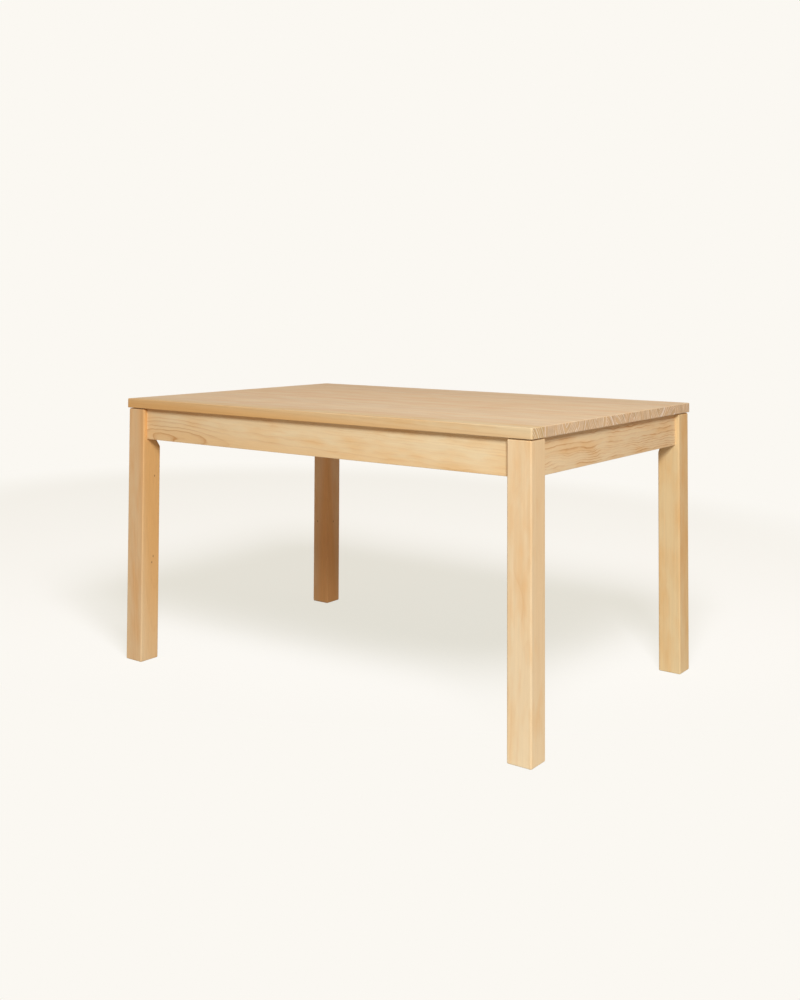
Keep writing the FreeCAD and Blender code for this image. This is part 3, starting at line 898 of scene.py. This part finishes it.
@dataclass(frozen=True)
class HangerBolt:
    """Hanger bolt along Z: its wood end is below zero, its machine end above.

    Attributes:
        diameter: of the machine thread, in mm.
        wood_diameter: of the wood end, in mm.
        grip: length of the wood end, in mm.
        tail: length of the machine end, in mm.
        pitch: rise of the machine thread in one turn, in mm.
        wood_pitch: rise of the wood thread, in mm.
        depth: of the machine thread, in mm.
        wood_depth: of the wood thread, in mm, and at its tip.
        point: length of the wood end's point, in mm.
        tip: radius of its very end, in mm.
        chamfer: of the machine end, in mm.
        collar: heights between which the wood thread fades out and the machine thread comes in, in mm.
        step: height of the shoulder where the wood end meets the machine end, in mm.
        columns: points round the bolt.
        turn_rows: rows of points in one turn of the machine thread.
        wood_turn_rows: rows of points in one turn of the wood thread.
    """

    diameter: float = 8.0
    wood_diameter: float = 6.5
    grip: float = 45.0
    tail: float = 30.1
    pitch: float = 1.25
    wood_pitch: float = 3.0
    depth: float = 0.62
    wood_depth: Span = (0.9, 0.2)
    point: float = 8.0
    tip: float = 0.4
    chamfer: float = 1.0
    collar: tuple[float, float, float, float] = (-5.0, -3.0, 1.0, 2.0)
    step: float = 0.02
    columns: int = 28
    turn_rows: int = 6
    wood_turn_rows: int = 8

    def grid(self) -> np.ndarray:
        """Work out the bolt's surface.

        The radius is an outline, pointed below and chamfered above, less the depth of a triangle thread,
        which fades out on the plain collar in the middle.

        Returns:
            Points, rows by columns by three, in mm.
        """
        turns = np.linspace(0, FULL_TURN, self.columns, endpoint=False)
        wood = np.arange(-self.grip, -self.step, self.wood_pitch / self.wood_turn_rows)
        machine = np.arange(0.0, self.tail, self.pitch / self.turn_rows)
        height = np.concatenate([wood, [-self.step], machine, [self.tail]])
        radius, core = self.diameter / 2, self.wood_diameter / 2
        pointed = (-self.grip, self.point - self.grip)
        outline = np.interp(height, [*pointed, -self.step, 0.0, self.tail - self.chamfer, self.tail],
                            [self.tip, core, core, radius, radius, radius - self.chamfer])
        full, end = self.wood_depth
        depth = np.interp(height, [*pointed, *self.collar, self.tail],
                          [end, full, full, 0.0, 0.0, self.depth, self.depth])
        pitch = np.where(height < 0.0, self.wood_pitch, self.pitch)
        reach = outline[:, None] - depth[:, None] * (1.0 - thread_wave(height, turns, pitch))
        tall = np.broadcast_to(height[:, None], reach.shape)
        return np.stack([reach * np.cos(turns), reach * np.sin(turns), tall], axis=-1)


@dataclass
class PineBoards:
    """A sub-assembly of pine boards.

    Attributes:
        cuts: how each board was cut from its log.
    """

    cuts: tuple[Cut, ...] = ()

    def dress(self, pine: LacqueredPine) -> None:
        """Give every board its own cut of pine."""
        for cut in self.cuts:
            dress(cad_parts[cut.node], pine.material(cut))


@dataclass
class EdgeGluedTop(PineBoards):
    """Top: staves of one width, glued edge to edge, each from another place in its log.

    Attributes:
        stave_count: how many staves make the width.
        pith_reach: how near and how far the pith may lie from a stave's middle, in mm.
        pith_tilt: how far it may lie above or below the stave's own level, as an angle.
        lean_spread: how far the pith's lean usually is from none, in degrees.
        seed_reach: how far apart the staves' own seeds may lie.
        tones: colours that the staves are multiplied by, as each comes from another tree.
        figure: how strongly the rings show.
        ring_mm: usual width of a growth ring.
        blotch: how warm the warmest patches are.
        seed: picks the staves' places in their logs.
        front_stave: the stave whose edge shows all along the front, heartwood on that side.
    """

    stave_count: int = 17
    pith_reach: Span = (60.0, 160.0)
    pith_tilt: float = 0.95
    lean_spread: float = 0.5
    seed_reach: float = 50.0
    tones: tuple[str, ...] = ("#FBFBFF", "#F8F8FD", "#F4F3F7", "#FAF7F9")
    figure: float = 0.5
    ring_mm: float = 8.5
    blotch: float = 0.4
    seed: int = 54
    front_stave: Cut = Cut("top_stave_01", Grain.ALONG_X, (0, -72, -58), (0.0, -2.0), 17.3, tone="#F2F1EA",
                           figure=0.4, ring_mm=8.5, heart_mm=82.0)

    def __post_init__(self) -> None:
        """Choose the log place of each stave, front to back, and put the front one in its place."""
        chance = np.random.default_rng(self.seed)
        angles = chance.choice([0.0, math.pi], self.stave_count)
        angles += chance.uniform(-self.pith_tilt, self.pith_tilt, self.stave_count)
        reaches = chance.uniform(*self.pith_reach, self.stave_count)
        leans = chance.normal(0, self.lean_spread, (self.stave_count, 2))
        seeds = chance.uniform(0, self.seed_reach, self.stave_count)
        tones = chance.choice(self.tones, self.stave_count)
        piths = np.stack([np.zeros_like(reaches), reaches * np.cos(angles), reaches * np.sin(angles)], axis=1)
        staves = [Cut(f"top_stave_{number:02d}", Grain.ALONG_X, tuple(pith), tuple(lean), seed,
                      tone=str(tone), figure=self.figure, ring_mm=self.ring_mm, blotch=self.blotch)
                  for number, (pith, lean, seed, tone) in enumerate(zip(piths, leans, seeds, tones), 1)]
        self.cuts = (self.front_stave, *staves[1:])


@dataclass
class ApronFrame(PineBoards):
    """Four aprons between the legs and the cross rail between the long ones."""

    cuts: tuple[Cut, ...] = (
        Cut("front_apron", Grain.ALONG_X, (0, 36, -42), (1.9, 0.0), 3.1, figure=0.32, ring_mm=8.0,
            ripple=4.5, heart_mm=42.0, branches=(Branch((-552, -10, -72), -15, 90, 66, 0.3),
                                                 Branch((-500, -10, -40), -14, 300, 110, 0.9))),
        Cut("back_apron", Grain.ALONG_X, (0, -45, 10), (0.4, 1.2), 7.7, 4.0, ripple=2.0,
            branches=(Branch((250, 10, 20), 22),)),
        Cut("right_apron", Grain.ALONG_Y, (-40, 0, -80), (0.6, 0.0), 12.4, 4.0, "#FBF7F0", figure=1.6,
            ring_mm=7.5, ripple=8.0),
        Cut("left_apron", Grain.ALONG_Y, (50, 0, 30), (0.5, 0.9), 19.0, 4.0, figure=0.8, ripple=2.2,
            branches=(Branch((-10, -120, -30), 20),)),
        Cut("cross_rail", Grain.ALONG_Y, (30, 0, 60), (0.4, 0.3), 41.0, 4.0, ring_mm=6.0),
    )


@dataclass
class LegSet(PineBoards):
    """Four square legs, cut nearly on the quarter, so that their faces are calm."""

    cuts: tuple[Cut, ...] = (
        Cut("leg_front_left", Grain.ALONG_Z, (85, 20, 0), (-3.5, 0.3), 23.0, tone="#F7EEE2", figure=0.22,
            ring_mm=6.0, heart_mm=75.0, knots=((32.5, 9, -67), (32.5, 4, -84), (32.5, 11, 168))),
        Cut("leg_front_right", Grain.ALONG_Z, (20, 60, 0), (0.5, 0.3), 26.0, tone="#FCF9F4", figure=0.15,
            ring_mm=6.0, heart_mm=85.0, heart_depth=0.25,
            branches=(Branch((-5, -32, 300), 16), Branch((5, -32, -10), 7))),
        Cut("leg_back_right", Grain.ALONG_Z, (66, -60, 0), (0.3, 0.2), 29.0, tone="#F7EDD8", figure=0.22,
            ring_mm=6.0),
        # This leg's warmer tone is partly the board's own colour and partly painted shade, standing for the
        # warm shade it gets under the top.
        Cut("leg_back_left", Grain.ALONG_Z, (60, -70, 0), (0.3, -5.0), 32.0, tone="#FFF2E8", figure=0.22,
            ring_mm=6.0, heart_mm=75.0, heart_depth=0.9, knots=((-14, -32.5, -86), (32.5, -2.5, -86))),
    )


@dataclass
class CornerHardware:
    """Bent brackets that pull the legs into the aprons, with their bolts, washers, nuts and screws.

    Attributes:
        corner_x: outer corner of a leg from the middle, along X, in mm.
        corner_y: outer corner of a leg from the middle, along Y, in mm.
        middle_z: height of the aprons' middle, in mm.
        leg_side: side of a leg, in mm.
        flat_cut: how much of a leg's inner corner is cut off along each face, in mm.
        standoff: from the leg's flat to the bracket, in mm.
        sheet: thickness of the bracket, in mm.
        apron_inner: from a leg's outer face to the apron's inner face, in mm.
        wing: length of a bracket's wing along the apron, in mm.
        bolt_spacing: from the lower bolt of a corner to the upper one, in mm.
        screw_spacing: from the lower screw of a wing to the upper one, in mm.
        bolt: the hanger bolts.
        screw: the bracket screws.
        formed: nodes of steel that keep their solids, beside the brackets.
    """

    corner_x: float = 682.0
    corner_y: float = 453.0
    middle_z: float = 690.0
    leg_side: float = 65.0
    flat_cut: float = 25.0
    standoff: float = 12.0
    sheet: float = 2.0
    apron_inner: float = 32.0
    wing: float = 32.0
    bolt_spacing: float = 32.0
    screw_spacing: float = 40.0
    bolt: HangerBolt = HangerBolt()
    screw: CrossHeadScrew = CrossHeadScrew(3.5, 14.0, 7.0, 2.4, 1.5)
    formed: tuple[str, ...] = ("bolt_washers", "bolt_lock_washers", "bolt_nuts")

    def build(self) -> list[bpy.types.Object]:
        """Make the threaded bolts and the cross-headed screws in place of their plain solids.

        Returns:
            The two pieces.
        """
        flat = (self.leg_side - self.flat_cut / 2) * math.sqrt(2)
        inward = Vector((1, 1, 0)).normalized()
        halves = (-0.5, 0.5)
        bolts = [toward(inward * flat + Vector((0, 0, self.middle_z + half * self.bolt_spacing)), inward)
                 for half in halves]
        bend = (flat + self.standoff) * math.sqrt(2) - self.apron_inner
        along, face = bend + self.wing / 2, self.apron_inner + self.sheet
        screws = []
        for height in (self.middle_z + half * self.screw_spacing for half in halves):
            screws.append(toward(Vector((along, face, height)), Vector((0, -1, 0))))
            screws.append(toward(Vector((face, along, height)), Vector((-1, 0, 0))))
        corners = [corner.frame(self.corner_x, self.corner_y) for corner in Corner]
        return [add_fasteners(node, grid, [corner @ place for corner in corners for place in local])
                for node, grid, local in (("hanger_bolts", self.bolt.grid(), bolts),
                                          ("bracket_screws", self.screw.grid(), screws))]

    def dress(self, steel: bpy.types.Material) -> None:
        """Build the threaded pieces and plate all of the corner's steel.

        Args:
            steel: the plated steel.
        """
        brackets = [f"corner_bracket_{corner.name.lower()}" for corner in Corner]
        for piece in [*self.build(), *(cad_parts[name] for name in (*brackets, *self.formed))]:
            dress(piece, steel)


@dataclass
class TopFixings:
    """Clips and screws that hold the top, and the dowels of the cross rail.

    Attributes:
        apron_x: outer face of the end aprons from the middle, in mm.
        apron_y: outer face of the long aprons from the middle, in mm.
        screw_depth: from an apron's outer face to its clips' screws, in mm.
        clip_z: height of the clips' undersides, in mm.
        long_apron: length of the long aprons, in mm.
        short_apron: length of the end aprons, in mm.
        rail_length: length of the cross rail, in mm.
        seat_z: height of the rail screws' seats, in mm.
        long_clips: how many clips a long apron has.
        short_clips: how many an end apron has.
        rail_screws: how many screws the rail has.
        clip_screw: the clips' screws.
        rail_screw: the rail's screws.
    """

    apron_x: float = 670.0
    apron_y: float = 441.0
    screw_depth: float = 35.6
    clip_z: float = 733.0
    long_apron: float = 1234.0
    short_apron: float = 776.0
    rail_length: float = 842.0
    seat_z: float = 710.0
    long_clips: int = 4
    short_clips: int = 2
    rail_screws: int = 3
    clip_screw: CrossHeadScrew = CrossHeadScrew(4.0, 16.0, 8.0, 2.6)
    rail_screw: CrossHeadScrew = CrossHeadScrew(4.5, 40.0, 9.0, 3.0, 2.2)

    def build(self) -> list[bpy.types.Object]:
        """Make the cross-headed screws in place of their plain solids.

        Returns:
            The two pieces.
        """
        up = Vector((0, 0, 1))
        sides = (-1, 1)
        clips = [toward(Vector((x, side * (self.apron_y - self.screw_depth), self.clip_z)), up)
                 for side in sides for x in stations(self.long_apron, self.long_clips)]
        clips += [toward(Vector((side * (self.apron_x - self.screw_depth), y, self.clip_z)), up)
                  for side in sides for y in stations(self.short_apron, self.short_clips)]
        rail = [toward(Vector((0, y, self.seat_z)), up) for y in stations(self.rail_length, self.rail_screws)]
        return [add_fasteners("top_clip_screws", self.clip_screw.grid(), clips),
                add_fasteners("cross_rail_screws", self.rail_screw.grid(), rail)]

    def dress(self, steel: bpy.types.Material, beech: bpy.types.Material) -> None:
        """Build the screws, plate the steel and give the dowels their beech.

        Args:
            steel: the plated steel.
            beech: the dowels' wood.
        """
        for piece in [*self.build(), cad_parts["top_clips"]]:
            dress(piece, steel)
        dress(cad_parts["cross_rail_dowels"], beech)


@dataclass(frozen=True)
class SoftBox:
    """Square soft box.

    Attributes:
        name: what it is called.
        place: its middle, in m.
        aim: the point that it looks at, in m.
        size: its side, in m.
        power: its power, in W.
        colour: colour of its light.
        for_floor: whether it lights the floor, and evenly, or the table.
    """

    name: str
    place: Point
    aim: Point
    size: float
    power: float
    colour: str
    for_floor: bool = False

    def hang(self, floor: bpy.types.Object) -> None:
        """Hang the soft box and choose what it lights.

        Args:
            floor: the studio's floor.
        """
        lamp = bpy.data.lights.new(self.name, "AREA")
        lamp.shape = "SQUARE"
        lamp.size = self.size
        lamp.energy = self.power
        lamp.color = linear(self.colour)[:3]
        if self.for_floor:
            lamp.use_nodes = True
            lamp.node_tree.nodes.clear()
            node = partial(add_node, lamp.node_tree)
            even = node("ShaderNodeLightFalloff", {"Strength": 1.0})
            glow = node("ShaderNodeEmission", {"Strength": even.outputs["Constant"]})
            node("ShaderNodeOutputLight", {"Surface": glow.outputs[0]})
        box = add_object(self.name, lamp)
        box.location = self.place
        box.rotation_euler = (Vector(self.aim) - Vector(self.place)).to_track_quat("-Z", "Y").to_euler()
        lit = bpy.data.collections.new(f"lit_by_{self.name}")
        lit.objects.link(floor)
        lit.collection_objects[0].light_linking.link_state = "INCLUDE" if self.for_floor else "EXCLUDE"
        box.light_linking.receiver_collection = lit


@dataclass
class Studio:
    """Plain pale room: a floor that runs out into the background, two soft boxes and soft room light.

    Attributes:
        backdrop: colour of the floor and of everything behind the table.
        key: soft box that lights the table.
        overhead: soft box that lights the floor and throws the table's shadow on it.
        room_level: strength of the room's light.
        room_colour: its colour.
        paper_colour: what the lit paper throws back onto the table.
        paper_middle: middle of that lit paper, on the key's side, in m.
        paper_reach: how far from there it starts and ends to give way to the boards, in m.
        boards_colour: what the room's floor boards beyond the paper throw back.
        floor_level: light of the lamps and the room on the open floor.
        shade_middle: middle of the floor's shaded patch, in m.
        shade_reach: half the length and width of that patch, in m.
        shade_fade: where the patch starts and ends to fade out, as shares of its reach.
        shade_share: how much of the red, green and blue light there comes from the lamps.
        floor_radius: of the floor, in m.
        floor_sides: how many corners its rim has.
        focal_px: focal length in pixels of the photograph.
        image_height_px: height of the photograph.
        principal_y_px: height in it at which the lens looks straight ahead, from the top.
        camera_place: where the lens stands, in m.
        camera_angles: the camera's yaw, pitch and roll, in degrees.
        sensor_mm: height of the camera's sensor.
    """

    backdrop: str = "#FBF8F2"
    key: SoftBox = SoftBox("key_soft_box", (3.3, -3.6, 3.25), (0.0, 0.0, 0.5), 1.4, 230.0, "#FBFDFF")
    overhead: SoftBox = SoftBox("overhead_soft_box", (1.7, -1.84, 2.78), (-0.63, 0.68, 0.0), 1.1, 15.0,
                                "#E7F5FF", for_floor=True)
    room_level: float = 0.41
    room_colour: str = "#FFD7B5"
    paper_colour: str = "#AEB0B4"
    paper_middle: Point = (0.35, -0.2, 0.0)
    paper_reach: Span = (0.7, 1.5)
    boards_colour: str = "#8A6A50"
    floor_level: float = 1.15
    shade_middle: Point = (-1.4, 1.4, 0.0)
    shade_reach: Point = (2.4, 1.9, 1.0)
    shade_fade: Span = (0.8, 1.2)
    shade_share: Point = (0.26, 0.232, 0.256)
    floor_radius: float = 30.0
    floor_sides: int = 96
    focal_px: float = 1141.3
    image_height_px: float = 1000.0
    principal_y_px: float = 269.8
    camera_place: Point = (1.9749, -2.7122, 1.0253)
    camera_angles: Point = (36.357, 2.043, 0.245)
    sensor_mm: float = 36.0

    def build(self) -> None:
        """Make the floor, the light and the camera."""
        floor = self._floor()
        self._world()
        self.key.hang(floor)
        self.overhead.hang(floor)
        self._camera()

    def _floor(self) -> bpy.types.Object:
        """Lay a round floor: one disc, on which the table's shadow fades out into the backdrop.

        Returns:
            The floor.
        """
        turns = np.linspace(0, FULL_TURN, self.floor_sides, endpoint=False)
        rim = np.stack([np.cos(turns), np.sin(turns), np.zeros_like(turns)], axis=1) * self.floor_radius
        mesh = bpy.data.meshes.new("studio_floor")
        mesh.from_pydata(rim.tolist(), [], [list(range(len(turns)))])
        floor = add_object("studio_floor", mesh)
        material, node, surface = new_material("matt_paper_backdrop")
        place = node("ShaderNodeTexCoord").outputs["Object"]
        shown = node("ShaderNodeMixShader", {"Fac": self._seen(node), 1: self._bounce(node, place),
                                             2: self._shaded_paper(node, place)})
        material.node_tree.links.new(shown.outputs[0], surface)
        dress(floor, material)
        return floor

    def _shaded_paper(self, node: AddNode, place: Socket) -> Socket:
        """Make the paper that is seen: it glows by what the lamps don't give, and so keeps the shadow.

        Args:
            node: adds a node to the floor's material.
            place: the point on the floor, in m.

        Returns:
            The shader.
        """
        patch = node("ShaderNodeMapping", {"Vector": place, "Location": self.shade_middle,
                                           "Scale": self.shade_reach}, vector_type="TEXTURE")
        reach = node("ShaderNodeVectorMath", {0: patch.outputs["Vector"]}, operation="LENGTH")
        inside = node("ShaderNodeMapRange", {"Value": reach.outputs["Value"],
                                             **between(self.shade_fade, (1.0, 0.0))},
                      interpolation_type="SMOOTHSTEP")
        backdrop = Vector(linear(self.backdrop)[:3])
        share = node("ShaderNodeVectorMath", {0: backdrop * Vector(self.shade_share),
                                              "Scale": inside.outputs["Result"]}, operation="SCALE")
        level = Vector((self.floor_level,) * 3)
        rest = node("ShaderNodeVectorMath", {0: share.outputs["Vector"], 1: -level, 2: backdrop},
                    operation="MULTIPLY_ADD")
        glow = node("ShaderNodeEmission", {"Color": rest.outputs["Vector"], "Strength": 1.0})
        paper = node("ShaderNodeBsdfDiffuse", {"Color": share.outputs["Vector"]})
        return node("ShaderNodeAddShader", {0: glow.outputs[0], 1: paper.outputs[0]}).outputs[0]

    def _bounce(self, node: AddNode, place: Socket) -> Socket:
        """Make the ground that throws light back onto the table: lit paper, and boards beyond it.

        Args:
            node: adds a node to the floor's material.
            place: the point on the floor, in m.

        Returns:
            The shader.
        """
        middle = node("ShaderNodeVectorMath", {0: place, 1: self.paper_middle}, operation="DISTANCE")
        beyond = node("ShaderNodeMapRange", {"Value": middle.outputs["Value"], **between(self.paper_reach)},
                      interpolation_type="SMOOTHSTEP")
        ground = node("ShaderNodeMix", {"Factor": beyond.outputs["Result"], "A": linear(self.paper_colour),
                                        "B": linear(self.boards_colour)}, data_type="RGBA")
        return node("ShaderNodeBsdfDiffuse", {"Color": ground.outputs["Result"]}).outputs[0]

    def _world(self) -> None:
        """Give the room its soft light, and show the backdrop's colour to the camera."""
        world = bpy.data.worlds.new("studio")
        world.use_nodes = True
        world.node_tree.nodes.clear()
        node = partial(add_node, world.node_tree)
        room = node("ShaderNodeBackground", {"Color": linear(self.room_colour), "Strength": self.room_level})
        backdrop = node("ShaderNodeBackground", {"Color": linear(self.backdrop), "Strength": 1.0})
        shown = node("ShaderNodeMixShader", {"Fac": self._seen(node), 1: room.outputs[0],
                                             2: backdrop.outputs[0]})
        node("ShaderNodeOutputWorld", {"Surface": shown.outputs[0]})
        bpy.context.scene.world = world

    @staticmethod
    def _seen(node: AddNode) -> Socket:
        """Tell rays that show the background, straight or in a reflection, from those that light a surface.

        Args:
            node: adds a node to the floor's material or to the world.

        Returns:
            1 for a ray that shows it, and 0 for the others.
        """
        ray = node("ShaderNodeLightPath")
        direct = node("ShaderNodeMath", {0: ray.outputs["Is Camera Ray"], 1: ray.outputs["Is Glossy Ray"]},
                      operation="MAXIMUM")
        return node("ShaderNodeMath", {0: direct.outputs[0], 1: ray.outputs["Is Transmission Ray"]},
                    operation="MAXIMUM").outputs[0]

    def _camera(self) -> None:
        """Stand the camera where the photograph was taken, with its lens shifted down to the table."""
        yaw, pitch, roll = (math.radians(angle) for angle in self.camera_angles)
        ahead = Vector((-math.sin(yaw) * math.cos(pitch), math.cos(yaw) * math.cos(pitch), math.sin(pitch)))
        level_right = Vector((math.cos(yaw), math.sin(yaw), 0))
        level_up = level_right.cross(ahead)
        right = math.cos(roll) * level_right + math.sin(roll) * level_up
        up = math.cos(roll) * level_up - math.sin(roll) * level_right
        data = bpy.data.cameras.new("camera")
        data.sensor_fit = "VERTICAL"
        data.sensor_height = self.sensor_mm
        data.lens = data.sensor_height * self.focal_px / self.image_height_px
        data.shift_y = self.principal_y_px / self.image_height_px - 0.5
        camera = add_object("camera", data)
        turn = Matrix((right, up, -ahead)).transposed().to_4x4()
        camera.matrix_world = Matrix.Translation(self.camera_place) @ turn
        bpy.context.scene.camera = camera


def main() -> None:
    """Build and dress the table, then the room around it."""
    logging.basicConfig(level=logging.INFO, format="%(message)s")
    bpy.context.scene.view_settings.view_transform = "Standard"
    pine = LacqueredPine()
    steel = ZincPlatedSteel().material()
    beech = FlutedBeech().material()
    EdgeGluedTop().dress(pine)
    ApronFrame().dress(pine)
    LegSet().dress(pine)
    CornerHardware().dress(steel)
    TopFixings().dress(steel, beech)
    Studio().build()


if __name__ == "__main__":
    main()
